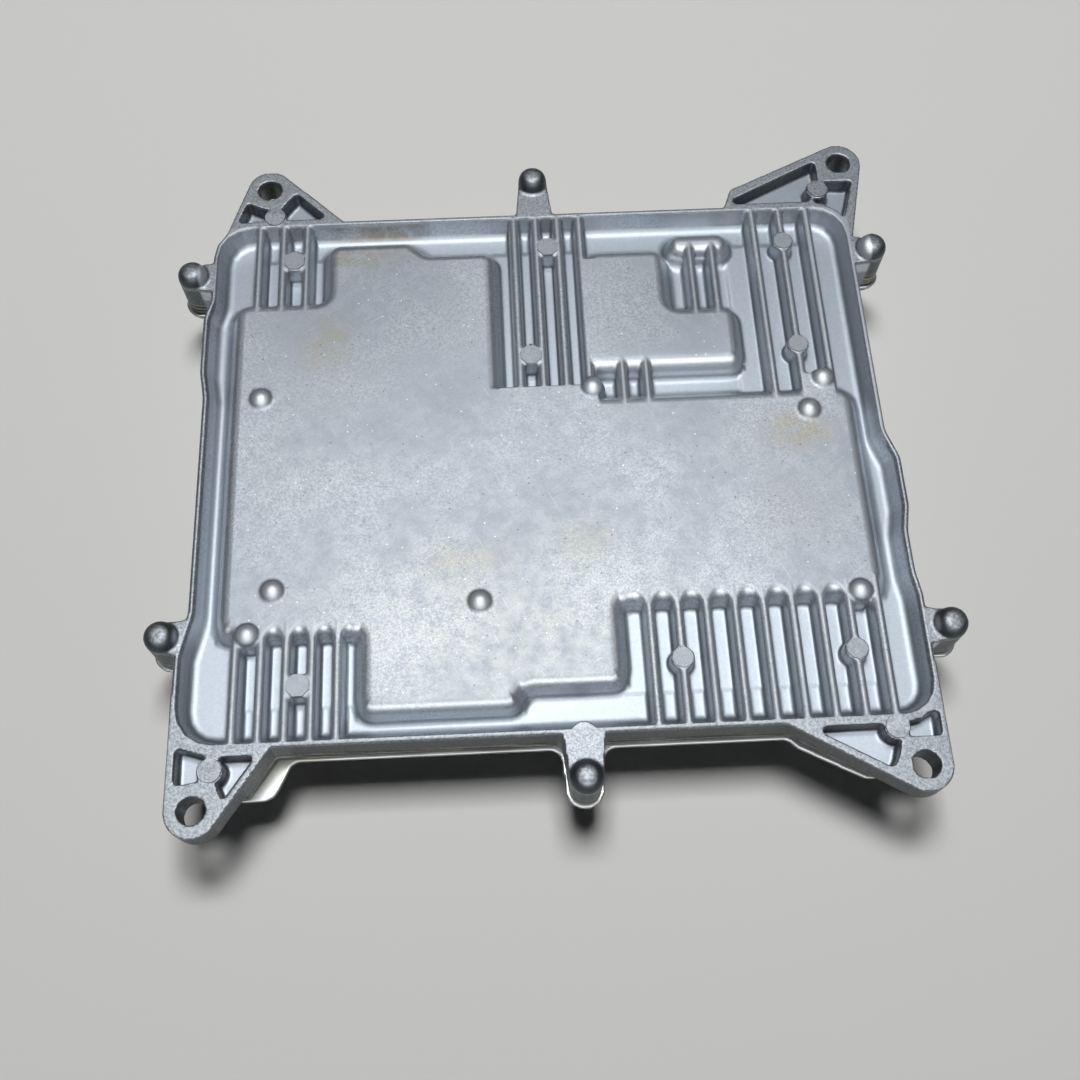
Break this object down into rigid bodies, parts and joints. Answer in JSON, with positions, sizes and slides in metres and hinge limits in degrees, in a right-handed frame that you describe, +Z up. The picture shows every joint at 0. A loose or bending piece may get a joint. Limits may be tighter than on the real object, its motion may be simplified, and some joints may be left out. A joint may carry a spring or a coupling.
{
  "type": "engine control unit",
  "caption": "Flat engine control unit: a ribbed die-cast housing with mounting lugs and screw pegs, closed below by a sheet cover with a plug header.",
  "frame": {"origin": "middle of the unit's outline, at the mouth of the plug header on which it rests", "axes": "+Z up from the cover to the ribbed housing, +X along the unit's long side, +Y towards the back as the picture shows it"},
  "size_m": [0.2028, 0.1924, 0.0316],
  "materials": {
    "cast_aluminium": "as-cast satin",
    "pressed_sheet": "satin sheet",
    "seal_rubber": "matte",
    "gasket_rubber": "matte",
    "header_plastic": "moulded",
    "pin_metal": "tinned",
    "screw_steel": "zinc plated",
    "board_laminate": "solder mask",
    "filler_pad": "soft",
    "chip_plastic": "moulded",
    "capacitor_can": "drawn can",
    "crystal_can": "drawn can",
    "ferrite": "pressed",
    "sensor_plastic": "moulded",
    "ceramic": "fired",
    "vent_plastic": "moulded"
  },
  "bodies": {
    "root": {"heat_sink_housing": "cast_aluminium", "sheet_cover": "pressed_sheet", "cover_seal": "seal_rubber", "cover_screws": "screw_steel", "connector_header": "header_plastic", "header_seal": "gasket_rubber", "left_pins": "pin_metal", "middle_pins": "pin_metal", "right_pins": "pin_metal", "circuit_board": "board_laminate", "board_screws": "screw_steel", "thermal_pads": "filler_pad", "microcontroller": "chip_plastic", "flash_memory": "chip_plastic", "crystal": "crystal_can", "power_supply_chip": "chip_plastic", "boost_inductor": "ferrite", "supply_choke": "ferrite", "buffer_capacitors": "capacitor_can", "injector_drivers": "chip_plastic", "ignition_drivers": "chip_plastic", "throttle_bridge": "chip_plastic", "valve_drivers": "chip_plastic", "bus_transceivers": "chip_plastic", "pressure_sensor": "sensor_plastic", "ceramic_capacitors": "ceramic", "vent_plug": "vent_plastic"}
  },
  "joints": []
}
